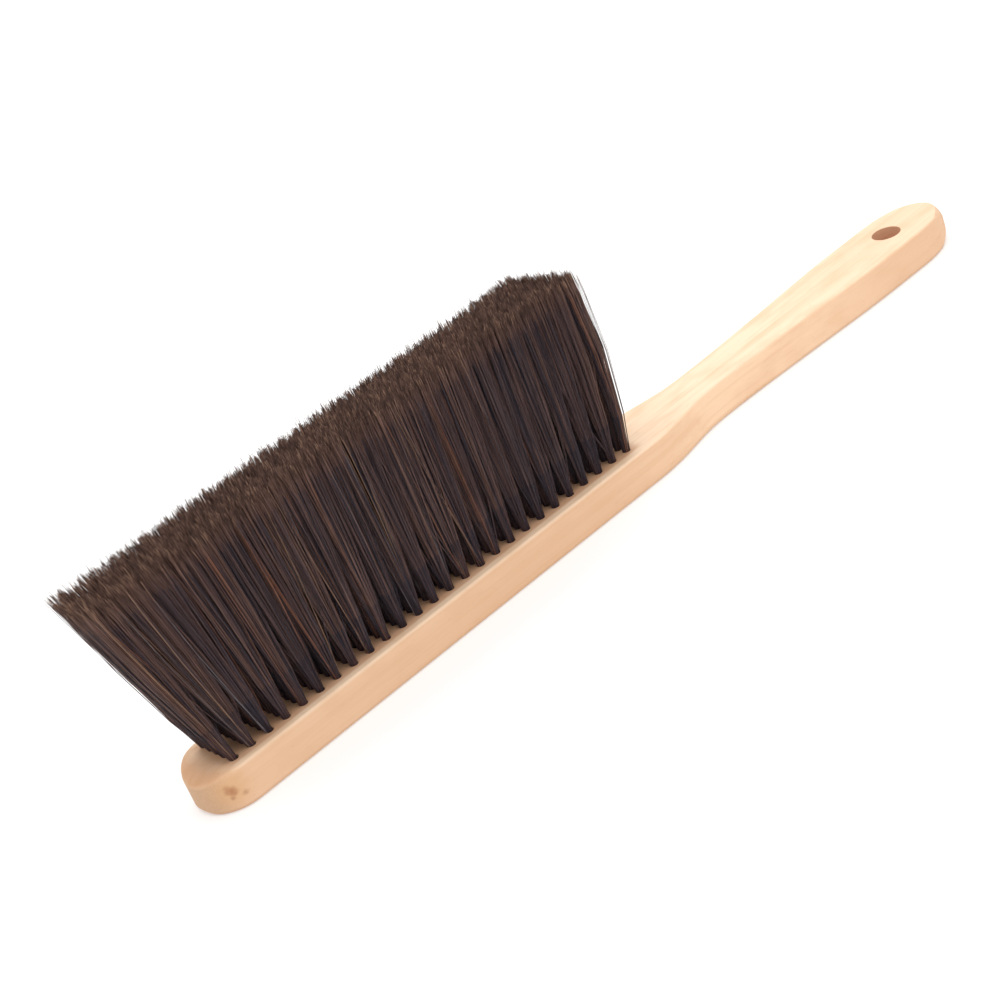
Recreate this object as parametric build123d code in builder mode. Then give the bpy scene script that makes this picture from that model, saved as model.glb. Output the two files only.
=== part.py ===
from build123d import *
import os
from math import acos, atan2, degrees, exp, hypot

os.makedirs("parts", exist_ok=True)

# Sizes in millimetres. The origin is the middle of the tuft field, on the flat back.
# +X runs from the tuft field to the grip, and +Z is the way the bristles stand.

# Wooden plank: back and handle in one piece
THICK = 13.9
EDGE_R = 1.3
TOE_CENTRE_X, TOE_R = -87.4, 13.8
SHOULDER_X, SHOULDER_W = 92.0, 14.8
NECK_X, NECK_W = 137.5, 9.6
GRIP_X, GRIP_W, GRIP_END = 243.5, 13.8, 25.6
HANG_HOLE_X, HANG_HOLE_R, HANG_HOLE_EASE = 241.3, 5.5, 0.3

# Rolled toe in side view: length and drop of each roll's arc
ROLL_OVER = 0.5
TOE_ROLL, TOE_DROP = 10.0, 4.0
TOE_UNDER_ROLL, TOE_UNDER_LIFT = 3.8, 2.6

# Nose of the grip: half an ellipse turned about the plank's long axis, which wears the corners away
NOSE_LENGTH, NOSE_R, NOSE_SET_BACK = 30.0, 16.4, 0.4

# Tuft field: columns across the block, rows along it
COLUMNS, COLUMN_PITCH = 26, 7.0
ROWS, ROW_PITCH = 5, 4.0
TUFT_HOLE_R, TUFT_HOLE_DEPTH = 1.5, 9.0
TUFT_R, TUFT_GAP = 1.45, 0.1

# Trimmed brush face
TRIM_HEIGHT = 68.6
TRIM_ROW_PITCH = 4.8
TRIM_GAP = 0.3
TRIM_END_HALF = 3.4
TRIM_CORNER_R = 1.1
COLLAR = 1.0

# Slope of all the columns, extra slope of the outermost ones, and how many columns it fades over
FIELD_SLOPE = -0.02
TOE_SLOPE, TOE_FADE = -0.255, 4.0
HEEL_SLOPE, HEEL_FADE = -0.055, 2.2
# At the heel each row slopes a little more than the row before it, and the rows spread further
HEEL_SKEW, HEEL_SPREAD = -0.024, 0.13

# Flat wire anchor that holds each folded tuft at the bottom of its hole
ANCHOR_LENGTH, ANCHOR_THICK, ANCHOR_HEIGHT = 3.5, 0.4, 1.8
ANCHOR_LIFT = 0.7
ANCHOR_PLAY = 0.1

TRIM_Z = THICK + TRIM_HEIGHT


def tip_of(column, row):
    """The middle of a tuft's share of the brush face."""
    heel = exp(-(COLUMNS - 1 - column) / HEEL_FADE)
    from_middle = row - (ROWS - 1) / 2
    slope = FIELD_SLOPE + TOE_SLOPE * exp(-column / TOE_FADE)
    slope += (HEEL_SLOPE + HEEL_SKEW * from_middle) * heel
    spread = TRIM_ROW_PITCH * (1 + HEEL_SPREAD * heel)
    return root_x[column] + TRIM_HEIGHT * slope, spread * from_middle


root_x = [COLUMN_PITCH * (c - (COLUMNS - 1) / 2) for c in range(COLUMNS)]
root_y = [ROW_PITCH * (r - (ROWS - 1) / 2) for r in range(ROWS)]
tips = [[tip_of(c, r) for r in range(ROWS)] for c in range(COLUMNS)]


def share_limits(row):
    """Limits in X of the shares of the brush face along one row."""
    along = [column[row][0] for column in tips]
    middles = [(a + b) / 2 for a, b in zip(along, along[1:])]
    return [along[0] - TRIM_END_HALF, *middles, along[-1] + TRIM_END_HALF]


shares = [share_limits(r) for r in range(ROWS)]


def mouth(column, row):
    """The plane of a tuft hole's mouth, with its normal along the tuft."""
    lean_x = (tips[column][row][0] - root_x[column]) / TRIM_HEIGHT
    lean_y = (tips[column][row][1] - root_y[row]) / TRIM_HEIGHT
    centre = (root_x[column], root_y[row], THICK)
    return Plane(origin=centre, x_dir=(1, 0, -lean_x), z_dir=(lean_x, lean_y, 1))


mouths = [[mouth(c, r) for r in range(ROWS)] for c in range(COLUMNS)]
anchor_foot = ANCHOR_LIFT - TUFT_HOLE_DEPTH


def at_all_holes(offset):
    return [hole.offset(offset) for column in mouths for hole in column]


# The long side touches the toe's arc where a line from the shoulder is tangent to it.
reach = hypot(SHOULDER_X - TOE_CENTRE_X, SHOULDER_W)
toe_from = degrees(atan2(SHOULDER_W, SHOULDER_X - TOE_CENTRE_X) + acos(TOE_R / reach))

# The side view reaches a little past the toe.
toe_x = TOE_CENTRE_X - TOE_R - ROLL_OVER
nose_x = GRIP_X + GRIP_END - NOSE_SET_BACK - NOSE_LENGTH

with BuildPart() as brush_block:
    with BuildSketch():
        with BuildLine():
            toe = CenterArc((TOE_CENTRE_X, 0), TOE_R, toe_from, 180 - toe_from)
            side = Line(toe @ 0, (SHOULDER_X, SHOULDER_W))
            waist = Spline(
                side @ 1,
                (109.5, 13.0),
                (122.5, 10.3),
                (NECK_X, NECK_W),
                (162.0, 10.5),
                (200.0, 12.8),
                (GRIP_X, GRIP_W),
                tangents=(side % 1, (1, 0)),
            )
            EllipticalCenterArc((GRIP_X, 0), GRIP_END, GRIP_W, start_angle=0, arc_size=90)
            mirror(about=Plane.XZ)
        make_face()
    extrude(amount=THICK)
    with BuildSketch(Plane.XZ):
        with BuildLine():
            toe_top = TangentArc((toe_x + TOE_ROLL, THICK), (toe_x, THICK - TOE_DROP), tangent=(-1, 0))
            toe_under = TangentArc((toe_x + TOE_UNDER_ROLL, 0), (toe_x, TOE_UNDER_LIFT), tangent=(-1, 0))
            Line(toe_top @ 1, toe_under @ 1)
            beyond = GRIP_X + 2 * GRIP_END
            Polyline(toe_top @ 0, (beyond, THICK), (beyond, 0), toe_under @ 0)
        make_face()
    extrude(amount=SHOULDER_W + 1, both=True, mode=Mode.INTERSECT)
    # All the rims: every edge except the upright seams and the ones straight across
    rims = brush_block.edges().filter_by(Axis.Y, reverse=True).filter_by(Axis.Z, reverse=True)
    fillet(rims, radius=EDGE_R)
    with BuildSketch(Plane(origin=(0, 0, THICK / 2), x_dir=(1, 0, 0), z_dir=(0, -1, 0))):
        with BuildLine():
            nose = EllipticalCenterArc((nose_x, 0), NOSE_LENGTH, NOSE_R, start_angle=0, arc_size=90)
            Polyline(nose @ 1, (nose_x, 2 * NOSE_R), (toe_x, 2 * NOSE_R), (toe_x, 0), nose @ 0)
        make_face()
    revolve(axis=Axis((0, 0, THICK / 2), (1, 0, 0)), mode=Mode.INTERSECT)
    with BuildSketch(Plane.XY):
        with Locations((HANG_HOLE_X, 0)):
            Circle(HANG_HOLE_R)
    extrude(amount=THICK, mode=Mode.SUBTRACT)
    hole_rims = brush_block.edges().filter_by(GeomType.CIRCLE)
    fillet(hole_rims.filter_by(lambda e: e.radius == HANG_HOLE_R), radius=HANG_HOLE_EASE)
    with BuildSketch(*at_all_holes(COLLAR)):
        Circle(TUFT_HOLE_R)
    extrude(amount=-(COLLAR + TUFT_HOLE_DEPTH), mode=Mode.SUBTRACT)
    # The wires' ends bite into the walls of the holes.
    with BuildSketch(*at_all_holes(anchor_foot - ANCHOR_PLAY)):
        Rectangle(ANCHOR_LENGTH + 2 * ANCHOR_PLAY, ANCHOR_THICK + ANCHOR_PLAY)
    extrude(amount=ANCHOR_HEIGHT + 2 * ANCHOR_PLAY, mode=Mode.SUBTRACT)
brush_block.part.label = "brush_block"
export_step(brush_block.part, "parts/brush_block.step")

for c, column in enumerate(mouths):
    row_share = (tips[c][1][1] - tips[c][0][1]) - TRIM_GAP
    with BuildPart() as tuft_column:
        for r, hole in enumerate(column):
            low, high = shares[r][c], shares[r][c + 1]
            # Free length: round at the block, spread to its share of the brush face
            with BuildSketch(hole.offset(COLLAR)):
                Circle(TUFT_R)
            with BuildSketch(Plane.XY.offset(TRIM_Z)):
                with Locations(((low + high) / 2, tips[c][r][1])):
                    RectangleRounded(high - low - TRIM_GAP, row_share, TRIM_CORNER_R)
            loft()
        # Folded feet in the holes
        with BuildSketch(*[hole.offset(COLLAR) for hole in column]):
            Circle(TUFT_R)
        extrude(amount=-(COLLAR + TUFT_HOLE_DEPTH - TUFT_GAP))
        # Windows for the anchors inside the folds
        with BuildSketch(*[hole.offset(anchor_foot - ANCHOR_PLAY) for hole in column]):
            Rectangle(2 * TUFT_HOLE_R, ANCHOR_THICK + ANCHOR_PLAY)
        extrude(amount=ANCHOR_HEIGHT + 2 * ANCHOR_PLAY, mode=Mode.SUBTRACT)
    name = f"tuft_column_{c + 1:02d}"
    tuft_column.part.label = name
    export_step(tuft_column.part, f"parts/{name}.step")

with BuildPart() as tuft_anchors:
    with BuildSketch(*at_all_holes(anchor_foot)):
        Rectangle(ANCHOR_LENGTH, ANCHOR_THICK)
    extrude(amount=ANCHOR_HEIGHT)
tuft_anchors.part.label = "tuft_anchors"
export_step(tuft_anchors.part, "parts/tuft_anchors.step")
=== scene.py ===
"""Looks for the neck duster brush: bristles, bare beech, studio and camera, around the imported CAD."""

import math

import bpy
import numpy as np
from mathutils import Matrix, Vector


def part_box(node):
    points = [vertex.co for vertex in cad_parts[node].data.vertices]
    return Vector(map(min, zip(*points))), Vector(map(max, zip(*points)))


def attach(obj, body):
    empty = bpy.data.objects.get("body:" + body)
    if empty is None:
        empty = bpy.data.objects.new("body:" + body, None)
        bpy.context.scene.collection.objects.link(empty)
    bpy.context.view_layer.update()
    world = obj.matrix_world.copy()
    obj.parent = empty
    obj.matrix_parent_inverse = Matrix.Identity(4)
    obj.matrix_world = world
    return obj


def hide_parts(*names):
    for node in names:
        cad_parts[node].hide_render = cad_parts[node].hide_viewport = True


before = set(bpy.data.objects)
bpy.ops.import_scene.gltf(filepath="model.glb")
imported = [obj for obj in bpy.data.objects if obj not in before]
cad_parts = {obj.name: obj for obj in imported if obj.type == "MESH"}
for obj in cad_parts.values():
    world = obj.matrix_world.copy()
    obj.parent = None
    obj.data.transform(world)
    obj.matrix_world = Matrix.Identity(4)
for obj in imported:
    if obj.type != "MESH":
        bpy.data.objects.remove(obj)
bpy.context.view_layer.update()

MM = 0.001
BLOCK = "brush_block"
COLUMNS = sorted(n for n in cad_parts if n.startswith("tuft_column_"))
ROWS = 5
PLANK_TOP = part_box(BLOCK)[1][2]
TRIM_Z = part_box(COLUMNS[0])[1][2]


# ---------------------------------------------------------------- colours and node helpers


def linear(r, g, b):
    """A linear colour from the 0 to 255 sRGB values."""
    out = []
    for c in (r / 255, g / 255, b / 255):
        out.append(c / 12.92 if c <= 0.04045 else ((c + 0.055) / 1.055) ** 2.4)
    return (*out, 1.0)


class Nodes:
    """A new node material with its Principled shader, and short ways to add and link nodes."""

    def __init__(self, name):
        self.material = bpy.data.materials.new(name)
        self.material.use_nodes = True
        self.tree = self.material.node_tree
        self.shader = self.tree.nodes["Principled BSDF"]

    def add(self, kind, inputs=(), **settings):
        node = self.tree.nodes.new(kind)
        for key, value in settings.items():
            setattr(node, key, value)
        for key, value in dict(inputs).items():
            if isinstance(value, bpy.types.NodeSocket):
                self.tree.links.new(value, node.inputs[key])
            else:
                node.inputs[key].default_value = value
        return node

    def put(self, key, value):
        """Sets or links one input of the Principled shader."""
        if isinstance(value, bpy.types.NodeSocket):
            self.tree.links.new(value, self.shader.inputs[key])
        else:
            self.shader.inputs[key].default_value = value

    def maths(self, operation, a, b=0.0, clamp=False):
        """One Math node, with a number or a socket for each of its inputs."""
        return self.add(
            "ShaderNodeMath", {0: a, 1: b}, operation=operation, use_clamp=clamp
        ).outputs[0]

    def ramp(self, value, low, high):
        """0 below low, 1 above high, smooth between."""
        return self.add(
            "ShaderNodeMapRange",
            {0: value, 1: low, 2: high, 3: 0.0, 4: 1.0},
            interpolation_type="SMOOTHSTEP",
        ).outputs[0]

    def less(self, value):
        """1 minus the value."""
        return self.maths("SUBTRACT", 1.0, value)

    def times(self, a, b):
        return self.maths("MULTIPLY", a, b)

    def mix(self, share, a, b):
        """Colour a, going over to colour b as the share goes from 0 to 1."""
        node = self.add("ShaderNodeMix", data_type="RGBA")
        sockets = [s for s in node.inputs if s.type == "RGBA"]
        for socket, value in ((node.inputs[0], share), (sockets[0], a), (sockets[1], b)):
            if isinstance(value, bpy.types.NodeSocket):
                self.tree.links.new(value, socket)
            else:
                socket.default_value = value
        return next(s for s in node.outputs if s.type == "RGBA")

    def noise(self, vector, scale, detail=2.0, roughness=0.5, distortion=0.0):
        return self.add(
            "ShaderNodeTexNoise",
            {
                "Vector": vector,
                "Scale": scale,
                "Detail": detail,
                "Roughness": roughness,
                "Distortion": distortion,
            },
        ).outputs["Fac"]

    def stretched(self, vector, scale):
        return self.add("ShaderNodeMapping", {"Vector": vector, "Scale": scale}).outputs[0]


# ---------------------------------------------------------------- wood

# Places on the plank, in metres
TOE_KNOT = (-0.0945, -0.0117, 0.0078)
KNOT_SPOTS = ((-0.0912, -0.0132, 0.0054), (-0.0950, -0.0115, 0.0050))
HANG_HOLE_X, HANG_HOLE_WALL = 0.2413, 0.0055
FIELD_END, FIELD_HALF_WIDTH = 0.0915, 0.0112
NECK_FROM, NECK_TO = (0.06, 0.13), (0.15, 0.25)
DARK_TOE_TOP = (-0.099, -0.0865)
LOWER_RIM = (0.0003, 0.0018)

# Noise scale of each pattern along X, Y and Z; the grain runs along X
CLOUDS, MOTTLES = (9, 45, 45), (60, 150, 150)
BANDS, FIBRES, FLECKS = (7, 260, 420), (38, 2600, 2600), (330, 2400, 2400)
PORES, DRILL_RINGS = (2600, 2600, 1900), (300, 300, 2600)
WIRE_LINES = (200, 9000, 9000)

# How strongly each pattern or mark shows
NECK_LIGHT_SHARE, WIDE_NECK_LIGHT_SHARE = 0.6, 0.25
MOTTLE_SHARE, BAND_SHARE, FIBRE_SHARE, FLECK_SHARE = 0.32, 0.34, 0.22, 0.16
END_GRAIN_AND_SHADE_SHARE = 0.8
HALO_SHARE, HEART_SHARE, SPOT_SHARE = 0.45, 0.68, 0.5
TOE_WOOD_AND_SHADE_SHARE, FIELD_SHADE_SHARE, LOWER_RIM_SHADE_SHARE = 0.6, 0.6, 0.45


def beech():
    """Bare sanded beech: long grain, flecks, end grain, a knot, darker wood at the toe and a drilled
    hole, with painted light and shade on the faces, the neck, the ends, the toe's top, the tuft field
    and the lower rims.
    """
    n = Nodes("beech")
    place = n.add("ShaderNodeTexCoord").outputs["Object"]
    x, y, z = n.add("ShaderNodeSeparateXYZ", {0: place}).outputs
    normal = n.add("ShaderNodeSeparateXYZ", {0: n.add("ShaderNodeNewGeometry").outputs["Normal"]})

    cloud = n.noise(n.stretched(place, CLOUDS), 1.0, 3.0)
    bands = n.noise(n.stretched(place, BANDS), 1.0, 4.0, 0.6, 0.6)
    fibres = n.noise(n.stretched(place, FIBRES), 1.0, 3.0, 0.7)
    fleck = n.noise(n.stretched(place, FLECKS), 1.0, 1.0)
    mottle = n.noise(n.stretched(place, MOTTLES), 1.0, 2.0)

    # Painted light and shade: the wide faces, which face the light from above, are painted paler than
    # the pinkish edges, which are painted darker as shade, and the neck is painted palest, as painted
    # light.
    flat = n.ramp(n.maths("ABSOLUTE", normal.outputs[2]), 0.25, 0.85)
    lit_wide_face = n.mix(cloud, linear(242, 213, 184), linear(236, 203, 172))
    shaded_edge_face = n.mix(cloud, linear(231, 192, 158), linear(221, 178, 142))
    # Painted light: the neck is painted paler, as if lit more strongly there.
    neck_light = n.times(n.ramp(x, *NECK_FROM), n.less(n.ramp(x, *NECK_TO)))
    shaded_edge_face = n.mix(n.times(neck_light, NECK_LIGHT_SHARE), shaded_edge_face, linear(248, 214, 180))
    lit_wide_face = n.mix(n.times(neck_light, WIDE_NECK_LIGHT_SHARE), lit_wide_face, linear(250, 229, 202))
    colour = n.mix(flat, shaded_edge_face, lit_wide_face)
    colour = n.mix(n.times(n.ramp(mottle, 0.4, 0.7), MOTTLE_SHARE), colour, linear(218, 174, 134))
    colour = n.mix(n.times(n.ramp(bands, 0.42, 0.7), BAND_SHARE), colour, linear(216, 170, 128))
    colour = n.mix(n.times(n.ramp(fibres, 0.5, 0.8), FIBRE_SHARE), colour, linear(205, 158, 116))
    colour = n.mix(n.times(n.ramp(fleck, 0.68, 0.78), FLECK_SHARE), colour, linear(178, 126, 90))

    # End grain shows where the surface faces along the plank, at the toe and the grip's end; its colour
    # is partly the end grain's own darker tone and partly painted shade.
    facing = n.maths("ABSOLUTE", normal.outputs[0])
    upright = n.less(n.maths("ABSOLUTE", normal.outputs[2]))
    end = n.maths("MULTIPLY", n.ramp(facing, 0.35, 0.95), upright, clamp=True)
    pores = n.noise(n.stretched(place, PORES), 1.0, 2.0)
    end_grain_and_shade_colour = n.mix(n.ramp(pores, 0.25, 0.9), linear(202, 164, 131), linear(180, 140, 106))
    colour = n.mix(n.times(end, END_GRAIN_AND_SHADE_SHARE), colour, end_grain_and_shade_colour)

    # Brown knot on the toe's rounded corner, with two small spots beside it
    ragged = n.times(n.noise(place, 380.0, 3.0), 0.0036)

    def near(point, inner, outer):
        """1 up to the inner distance from a point, 0 past the outer one, with a ragged border."""
        away = n.add("ShaderNodeVectorMath", {0: place, 1: point}, operation="DISTANCE")
        return n.less(n.ramp(n.maths("ADD", away.outputs["Value"], ragged), inner, outer))

    halo, heart = near(TOE_KNOT, 0.003, 0.0115), near(TOE_KNOT, 0.0018, 0.0046)
    colour = n.mix(n.times(halo, HALO_SHARE), colour, linear(208, 156, 100))
    colour = n.mix(n.times(heart, HEART_SHARE), colour, linear(160, 96, 52))
    for spot in KNOT_SPOTS:
        speck = near(spot, 0.0016, 0.0034)
        colour = n.mix(n.times(speck, SPOT_SHARE), colour, linear(158, 98, 64))

    # The toe's rolled top ahead of the first tufts is painted darker: partly darker wood, partly
    # painted shade from the bristles.
    toe_wood_and_shade = n.times(n.less(n.ramp(x, *DARK_TOE_TOP)), flat)
    colour = n.mix(n.times(toe_wood_and_shade, TOE_WOOD_AND_SHADE_SHARE), colour, linear(196, 134, 82))

    # The field between the tufts is painted darker too: painted shade under the bristles.
    from_middle, from_axis = n.maths("ABSOLUTE", x), n.maths("ABSOLUTE", y)
    along = n.less(n.ramp(from_middle, FIELD_END - 0.003, FIELD_END + 0.002))
    across = n.less(n.ramp(from_axis, FIELD_HALF_WIDTH - 0.001, FIELD_HALF_WIDTH + 0.0006))
    field_shade = n.times(n.times(along, across), flat)
    colour = n.mix(n.times(field_shade, FIELD_SHADE_SHARE), colour, linear(178, 120, 78))

    # The lower rims and the back are painted darker: painted shade near the floor.
    under_shade = n.less(n.ramp(z, *LOWER_RIM))
    colour = n.mix(n.times(under_shade, LOWER_RIM_SHADE_SHARE), colour, linear(176, 134, 102))

    # The hanging hole's drilled wall is burnished and darker.
    hole_x = n.maths("SUBTRACT", x, HANG_HOLE_X)
    radius = n.maths("SQRT", n.maths("ADD", n.times(hole_x, hole_x), n.times(y, y)))
    wall = n.less(n.ramp(radius, HANG_HOLE_WALL, HANG_HOLE_WALL + 0.0001))
    rings = n.noise(n.stretched(place, DRILL_RINGS), 1.0, 2.0)
    colour = n.mix(wall, colour, n.mix(rings, linear(222, 176, 144), linear(200, 154, 122)))

    n.put("Base Color", colour)
    rough = n.maths("ADD", 0.5, n.times(fibres, 0.18))
    n.put("Roughness", n.maths("ADD", rough, n.times(end, 0.1)))
    n.put("Specular IOR Level", 0.4)
    height = n.maths("ADD", n.times(fibres, 0.6), n.times(bands, 0.4))
    bump = n.add("ShaderNodeBump", {"Strength": 0.1, "Distance": 0.0003, "Height": height})
    n.put("Normal", bump.outputs[0])
    return n.material


def anchor_steel():
    """Flat wire with faint drawing lines."""
    n = Nodes("anchor_steel")
    place = n.add("ShaderNodeTexCoord").outputs["Object"]
    lines = n.noise(n.stretched(place, WIRE_LINES), 1.0, 2.0)
    n.put("Base Color", n.mix(lines, linear(168, 168, 170), linear(132, 131, 132)))
    n.put("Metallic", 1.0)
    n.put("Roughness", n.maths("ADD", 0.28, n.times(lines, 0.2)))
    return n.material


def paint(name, material):
    """Gives a CAD node's every slot this material."""
    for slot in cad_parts[name].material_slots:
        slot.material = material


paint(BLOCK, beech())
paint("tuft_anchors", anchor_steel())


# ---------------------------------------------------------------- bristles

# A strand is a few filaments that run together.
# Shades of most filaments as sRGB, the share of the strands that take each, and how light it is
SHAFTS = (
    ("ink", (76, 59, 62), 0.30, -0.6),
    ("umber", (93, 71, 70), 0.32, 0.0),
    ("bark", (112, 83, 74), 0.22, 0.6),
    ("night", (56, 49, 58), 0.16, -1.0),
)
# Shades of the few strands that stand out, and the chance of each; the silver strands are painted
# glints, highlights painted into the colour
ACCENTS = (
    ("copper", (140, 92, 70), 0.05),
    ("silver_glint", (128, 120, 124), 0.02),
    ("tan", (150, 116, 94), 0.02),
)
# Shades near the brush face and at the very tips, which are worn paler
UPPERS = (("upper_dark", (102, 76, 69)), ("upper_brown", (127, 95, 84)), ("upper_tan", (154, 121, 104)))
TIPS = (("tip_dark", (78, 57, 50)), ("tip_brown", (114, 86, 73)), ("tip_pale", (156, 123, 103)))
# The shade of the root, darker as painted shade low in the tufts, and of the part near the face, that
# goes with each shaft shade
SHADED_ROOT_OF_SHAFT = np.array((3, 0, 1, 3, 4, 5, 6))
UPPER_OF_SHAFT = np.array((0, 0, 1, 0, 1, 2, 2))
UPPER_SLOT = len(SHAFTS) + len(ACCENTS)
TIP_SLOT = UPPER_SLOT + len(UPPERS)

FOOT_DEPTH = 6.3 * MM
TUFT_R = 1.45 * MM
STRANDS, PER_STRAND = 65, 4
# At the tuft's mouth: strands' distance from its rim, filaments' scatter, and their least distance
MOUTH_INSET, MOUTH_SCATTER, MOUTH_GAP = 0.22 * MM, 0.16 * MM, 0.1 * MM
# At the brush face: weights of the square and round layouts, and how far strands and filaments scatter
SQUARE_PART, ROUND_PART = 0.8, 0.22
STRAND_SCATTER, TIP_SCATTER = (0.9 * MM, 0.5 * MM), 0.4 * MM
STRAYS, STRAY_SCATTER = 0.06, (5.0 * MM, 0.7 * MM)
# Bow of the strands, extra bow of each filament, and the strands' wave
STRAND_BEND, FILAMENT_BEND, STRAND_WAVE = 0.45 * MM, 0.16 * MM, 0.22 * MM
# Height of the tips above the trim, in millimetres
TOP_RISE, TOP_DOME, TOP_LIMIT = 0.85, 0.8, 2.6
SHORTER_STRANDS, UNEVEN_TIPS = 1.1, 0.5
LONG_TIPS, LONG_BY = 0.15, 0.9
# Scatter of the places where the shade changes, as shares of the length
UPPER_SCATTER, TIP_LINE_SCATTER = 0.02, 0.006
# How much of the lean and of the fan comes early in the length
EARLY_LEAN, EARLY_FAN = 0.72, 1.5
FILAMENT_WIDTHS = (0.85, 1.15)
# Scatter of the tufts' lightness, share of filaments with a shade of their own, and of accents kept
TUFT_LIGHT, OWN_SHADE, ACCENT_KEPT = 0.4, 0.2, 0.6
# Outward bow of the outermost columns, and how many columns it fades over
HEEL_BULGE, TOE_BULGE, END_FADE = 2.2 * MM, 1.2 * MM, 1.5
# How far the tips stay inside the heel's end of the brush face
HEEL_INSET = 0.9 * MM
# Extra chance of tan strands at the toe, and how much lighter its shafts are
TOE_TAN, TOE_LIGHT = 0.1, 0.6
# Filament rings: share of the free length, and radius in millimetres
RINGS = ((0.0, 0.085), (0.2, 0.09), (0.56, 0.092), (0.9, 0.088), (0.965, 0.078), (1.0, 0.055))
UPPER_RING, TIP_RING = 4, 5
SIDES = 3
FIRST_SEED = 4100


def filament_material(name, colour, roughness):
    """One shade of synthetic filament."""
    n = Nodes("filament_" + name)
    n.put("Base Color", linear(*colour))
    n.put("Roughness", roughness)
    n.put("Specular IOR Level", 0.25)
    return n.material


filaments = [filament_material(name, colour, 0.38) for name, colour, *_ in SHAFTS]
filaments += [filament_material(name, colour, 0.32) for name, colour, _ in ACCENTS]
filaments += [filament_material(name, colour, 0.48) for name, colour in UPPERS]
filaments += [filament_material(name, colour, 0.65) for name, colour in TIPS]
shaft_odds = np.array([share for _, _, share, _ in SHAFTS])
shaft_light = np.array([light for *_, light in SHAFTS])
accent_odds = np.array([chance for *_, chance in ACCENTS])


def corners(points):
    """The lowest and highest coordinates of some points."""
    return np.array([points.min(axis=0), points.max(axis=0)])


def tufts_of(name):
    """For each tuft of a CAD column: the centre where it leaves its hole, and its share of the trim."""
    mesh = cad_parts[name].data
    points = np.zeros(len(mesh.vertices) * 3, np.float32)
    mesh.vertices.foreach_get("co", points)
    points = points.reshape(-1, 3).astype(float)
    trim = points[points[:, 2] > TRIM_Z - 0.01 * MM]
    collar = corners(points[abs(points[:, 2] - PLANK_TOP - MM) < 0.6 * MM])
    across = np.linspace(collar[0, 1] + TUFT_R, collar[1, 1] - TUFT_R, ROWS)
    edges = np.linspace(trim[:, 1].min(), trim[:, 1].max(), ROWS + 1)
    out = []
    for row in range(ROWS):
        root = np.array([(collar[0, 0] + collar[1, 0]) / 2, across[row], PLANK_TOP])
        own = corners(trim[(trim[:, 1] > edges[row]) & (trim[:, 1] < edges[row + 1])])
        out.append((root, np.array([[own[0, 0], edges[row]], [own[1, 0], edges[row + 1]]])))
    return out


tufts = {name: tufts_of(name) for name in COLUMNS}
# Limits in X of the strands' tips along each row of the brush face
face_ends = [
    (tufts[COLUMNS[0]][r][1][0, 0], tufts[COLUMNS[-1]][r][1][1, 0] - HEEL_INSET) for r in range(ROWS)
]


def disc_points(rng, count):
    """Evenly spread points of the unit disc, turned by a random angle."""
    index = np.arange(count) + 0.5
    radius = np.sqrt(index / count)
    turn = index * math.pi * (3 - math.sqrt(5)) + rng.uniform(0, 2 * math.pi)
    return np.stack([radius * np.cos(turn), radius * np.sin(turn)], axis=1)


def square_of(disc):
    """Points of the unit disc moved out to fill the unit square."""
    far = np.linalg.norm(disc, axis=1)
    return disc * (far / np.maximum(abs(disc).max(axis=1), 1e-9))[:, None]


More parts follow.
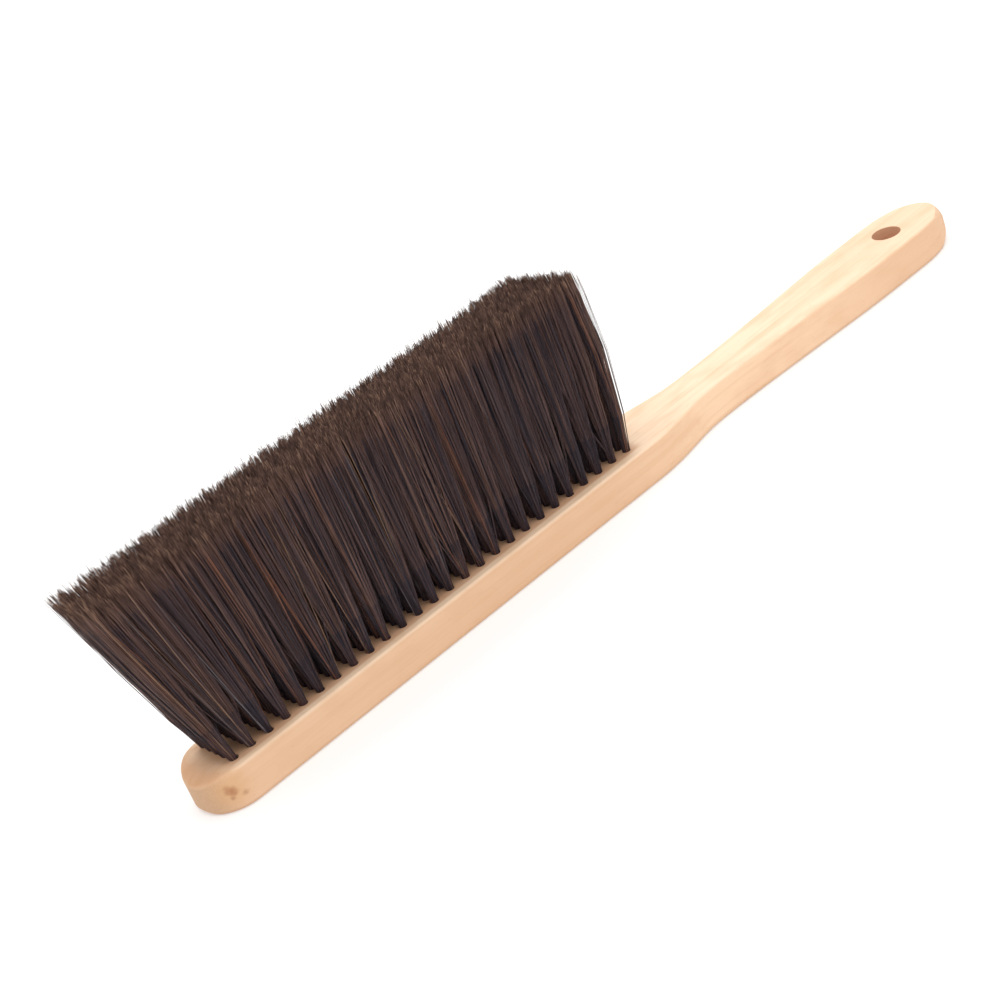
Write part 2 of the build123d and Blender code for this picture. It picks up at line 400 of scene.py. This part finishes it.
def bristle_tuft(rng, root, share, ends, bulge, toe):
    """One tuft's points, by filament, ring and side, and the material slot of each filament's zones."""
    strand = np.repeat(np.arange(STRANDS), PER_STRAND)
    n = len(strand)
    disc = disc_points(rng, STRANDS)
    half, centre = (share[1] - share[0]) / 2, (share[1] + share[0]) / 2

    at_mouth = disc[strand] * (TUFT_R - MOUTH_INSET) + rng.normal(0, MOUTH_SCATTER, (n, 2))
    far = np.maximum(np.linalg.norm(at_mouth, axis=1), 1e-9)
    at_mouth *= np.minimum(1, (TUFT_R - MOUTH_GAP) / far)[:, None]

    # Tips fill the tuft's share of the brush face, apart from a few strays.
    spread = (SQUARE_PART * square_of(disc) + ROUND_PART * disc) * half
    spread += rng.normal(0, 1, disc.shape) * STRAND_SCATTER
    stray = rng.random(STRANDS) < STRAYS
    spread[stray] += rng.normal(0, 1, (stray.sum(), 2)) * STRAY_SCATTER
    spread[:, 0] = np.clip(spread[:, 0], *(np.array(ends) - centre[0]))
    at_tip = spread[strand] + rng.normal(0, TIP_SCATTER, (n, 2))
    bend = rng.normal(0, STRAND_BEND, disc.shape)[strand] + rng.normal(0, FILAMENT_BEND, (n, 2))
    wave = rng.normal(0, STRAND_WAVE, disc.shape)[strand]

    # Each tuft's trim is slightly domed, some strands are short and a few tips stand out.
    dome = TOP_DOME * np.linalg.norm(disc, axis=1) ** 2
    top = TOP_RISE - dome - abs(rng.normal(0, SHORTER_STRANDS, STRANDS))
    top = top[strand] + rng.normal(0, UNEVEN_TIPS, n)
    top += (rng.random(n) < LONG_TIPS) * rng.exponential(LONG_BY, n)
    top = TRIM_Z - PLANK_TOP + np.minimum(top, TOP_LIMIT) * MM
    shares = np.tile([s for s, _ in RINGS], (n, 1))
    shares[:, UPPER_RING - 1] += rng.normal(0, UPPER_SCATTER, n)
    shares[:, TIP_RING - 1] += rng.normal(0, TIP_LINE_SCATTER, n)

    # Centre line: foot in the hole, then the free length, which leans over more towards its tip
    lean = (centre - root[:2]) / (TRIM_Z - PLANK_TOP)
    line = np.zeros((n, len(RINGS) + 1, 3))
    line[:, 0, :2] = root[:2] + at_mouth - lean * FOOT_DEPTH
    line[:, 0, 2] = PLANK_TOP - FOOT_DEPTH
    for k in range(len(RINGS)):
        s = shares[:, k, None]
        axis = root[:2] + (centre - root[:2]) * s * (EARLY_LEAN + (1 - EARLY_LEAN) * s)
        fan = s * (EARLY_FAN + (1 - EARLY_FAN) * s)
        sway = (bend + (bulge, 0)) * 4 * s * (1 - s) + wave * np.sin(2 * math.pi * s)
        line[:, k + 1, :2] = axis + at_mouth * (1 - fan) + at_tip * fan + sway
        line[:, k + 1, 2] = PLANK_TOP + top * shares[:, k]

    radii = np.array([RINGS[0][1]] + [r for _, r in RINGS]) * MM
    turn = rng.uniform(0, 2 * math.pi, n)[:, None] + np.arange(SIDES) * 2 * math.pi / SIDES
    across = np.stack([np.cos(turn), np.sin(turn), np.zeros_like(turn)], axis=2)
    thick = rng.uniform(*FILAMENT_WIDTHS, n)[:, None, None, None]
    points = line[:, :, None] + across[:, None] * radii[:, None, None] * thick

    # Each tuft is a little lighter or darker than the next.
    odds = shaft_odds * np.exp(shaft_light * (rng.normal(0, TUFT_LIGHT) + TOE_LIGHT * toe))
    shaft = rng.choice(len(SHAFTS), STRANDS, p=odds / odds.sum())[strand]
    own = rng.random(n) < OWN_SHADE
    shaft[own] = rng.choice(len(SHAFTS), own.sum(), p=odds / odds.sum())
    chances = accent_odds + (0, 0, TOE_TAN * toe)
    pick = rng.choice(len(ACCENTS) + 1, STRANDS, p=[*chances, 1 - chances.sum()])[strand]
    accent = (pick < len(ACCENTS)) & (rng.random(n) < ACCENT_KEPT)
    shaft[accent] = len(SHAFTS) + pick[accent]
    upper = UPPER_OF_SHAFT[shaft]
    tip = np.clip(upper + rng.choice((-1, 0, 0, 1), STRANDS)[strand], 0, len(TIPS) - 1)
    zones = np.repeat(shaft[:, None], len(RINGS), axis=1)
    # The foot and the lowest part of the free length, painted darker as shade
    zones[:, :2] = SHADED_ROOT_OF_SHAFT[shaft][:, None]
    zones[:, UPPER_RING] = UPPER_SLOT + upper
    zones[:, TIP_RING] = TIP_SLOT + tip
    return points, zones


def filament_faces():
    """Corner numbers of one filament's faces, and which zone each face is in."""
    quads, zones = [], []
    for k in range(len(RINGS)):
        for side in range(SIDES):
            a, b = k * SIDES + side, k * SIDES + (side + 1) % SIDES
            quads.append((a, b, b + SIDES, a + SIDES))
            zones.append(k)
    last = len(RINGS) * SIDES
    ends = [(2, 1, 0), (last, last + 1, last + 2)]
    return np.array(quads), np.array(ends), np.array(zones + [0, TIP_RING])


QUADS, ENDS, FACE_ZONES = filament_faces()


def bristle_column(name, number):
    """All the filaments of one column of tufts as one mesh of closed prisms."""
    rng = np.random.default_rng(FIRST_SEED + number)
    # The outermost columns bow outwards, and the toe's are lighter and have more tan in them.
    toe = math.exp((1 - number) / END_FADE)
    bulge = HEEL_BULGE * math.exp((number - len(COLUMNS)) / END_FADE) - TOE_BULGE * toe
    made = [bristle_tuft(rng, *tufts[name][row], face_ends[row], bulge, toe) for row in range(ROWS)]
    points = np.concatenate([p for p, _ in made])
    zones = np.concatenate([z for _, z in made])
    n, per = len(points), points.shape[1] * SIDES

    first = (np.arange(n) * per)[:, None]
    loops = np.concatenate([first + QUADS.ravel(), first + ENDS.ravel()], axis=1)
    sizes = np.tile([4] * len(QUADS) + [3] * len(ENDS), n)
    mesh = bpy.data.meshes.new(f"bristles_{number:02d}")
    mesh.vertices.add(n * per)
    mesh.vertices.foreach_set("co", points.astype(np.float32).ravel())
    mesh.loops.add(loops.size)
    mesh.loops.foreach_set("vertex_index", loops.astype(np.int32).ravel())
    mesh.polygons.add(len(sizes))
    mesh.polygons.foreach_set("loop_start", (np.cumsum(sizes) - sizes).astype(np.int32))
    for material in filaments:
        mesh.materials.append(material)
    mesh.polygons.foreach_set("material_index", zones[:, FACE_ZONES].astype(np.int32).ravel())
    mesh.polygons.foreach_set("use_smooth", np.ones(len(sizes), bool))
    mesh.update(calc_edges=True)
    mesh.validate()
    piece = bpy.data.objects.new(f"bristles_{number:02d}", mesh)
    bpy.context.scene.collection.objects.link(piece)
    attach(piece, "root")
    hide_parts(name)


for number, name in enumerate(COLUMNS, start=1):
    bristle_column(name, number)


# ---------------------------------------------------------------- studio and camera


FLOOR_HALF, FLOOR_GREY, FLOOR_GLOW = 6.0, 0.62, 0.38
WORLD_STRENGTH = 0.85


def floor():
    """Plain floor with a weak glow, which keeps it near white all over."""
    n = Nodes("pale_floor")
    n.put("Base Color", (FLOOR_GREY, FLOOR_GREY, FLOOR_GREY, 1))
    n.put("Roughness", 0.8)
    n.put("Emission Color", (1, 1, 1, 1))
    n.put("Emission Strength", FLOOR_GLOW)
    mesh = bpy.data.meshes.new("floor")
    turns = ((-1, -1), (1, -1), (1, 1), (-1, 1))
    mesh.from_pydata([(FLOOR_HALF * a, FLOOR_HALF * b, 0) for a, b in turns], [], [(0, 1, 2, 3)])
    mesh.materials.append(n.material)
    piece = bpy.data.objects.new("floor", mesh)
    bpy.context.scene.collection.objects.link(piece)


def area_light(name, place, aim, size, power, colour=(1, 1, 1)):
    data = bpy.data.lights.new(name, "AREA")
    data.shape = "RECTANGLE"
    data.size, data.size_y = size
    data.energy = power
    data.color = colour
    piece = bpy.data.objects.new(name, data)
    piece.location = place
    piece.rotation_euler = (Vector(aim) - Vector(place)).to_track_quat("-Z", "Y").to_euler()
    bpy.context.scene.collection.objects.link(piece)


CAMERA_PLACE = (-0.28644, -0.52157, 0.33021)
CAMERA_AIM = (0.03855, 0.0, 0.02345)
CAMERA_ROLL = 21.959
CAMERA_LENS = 75.14


def camera():
    data = bpy.data.cameras.new("camera")
    data.sensor_width = 36
    data.lens = CAMERA_LENS
    data.clip_start = 0.01
    piece = bpy.data.objects.new("camera", data)
    look = (Vector(CAMERA_AIM) - Vector(CAMERA_PLACE)).to_track_quat("-Z", "Y").to_matrix()
    roll = Matrix.Rotation(math.radians(-CAMERA_ROLL), 3, "Z")
    piece.matrix_world = Matrix.Translation(CAMERA_PLACE) @ (look @ roll).to_4x4()
    bpy.context.scene.collection.objects.link(piece)
    bpy.context.scene.camera = piece


def studio():
    world = bpy.data.worlds.new("studio")
    world.use_nodes = True
    background = world.node_tree.nodes["Background"].inputs
    background["Color"].default_value = (1, 1, 1, 1)
    background["Strength"].default_value = WORLD_STRENGTH
    bpy.context.scene.world = world
    bpy.context.scene.view_settings.view_transform = "Standard"
    area_light("key", (0.15, 0.1, 1.3), (0.05, 0, 0.03), (1.6, 1.6), 14.0, (1, 0.99, 0.975))
    area_light("fill", (0.5, -1.7, 0.7), (0.05, 0, 0.02), (1.2, 0.8), 2.6)


floor()
studio()
camera()
